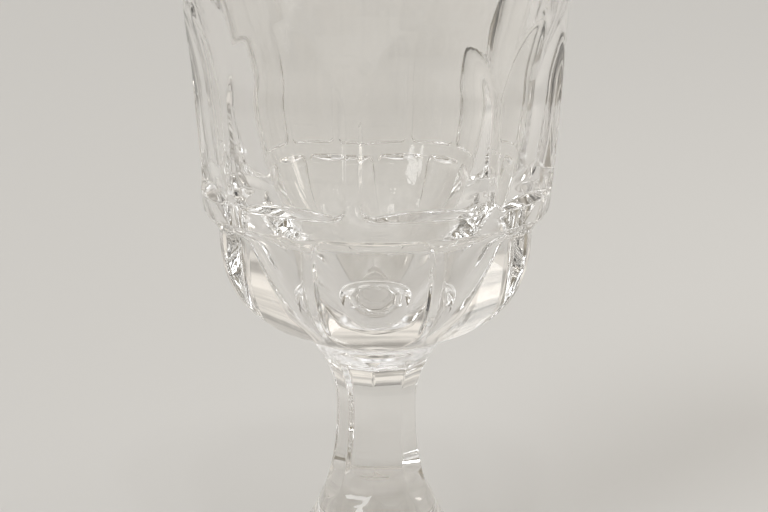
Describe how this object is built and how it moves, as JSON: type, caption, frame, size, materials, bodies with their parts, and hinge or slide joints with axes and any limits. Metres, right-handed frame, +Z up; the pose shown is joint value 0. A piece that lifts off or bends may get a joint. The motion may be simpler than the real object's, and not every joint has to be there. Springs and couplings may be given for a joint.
{
  "type": "wine glass",
  "caption": "Footed goblet in clear cut glass: a bowl with two staggered rows of flat panels and a plain band between them, a fluted stem, and a round flared foot.",
  "frame": {"origin": "middle of the face that the glass rests on, on its own axis", "axes": "+Z up along the axis, from the foot to the rim; -Y is the side that faces the viewer"},
  "size_m": [0.0828, 0.0828, 0.147],
  "materials": {
    "bowl_glass": "polished",
    "stem_glass": "polished",
    "foot_glass": "polished"
  },
  "bodies": {
    "root": {"bowl": "bowl_glass", "stem": "stem_glass", "foot": "foot_glass"}
  },
  "joints": []
}
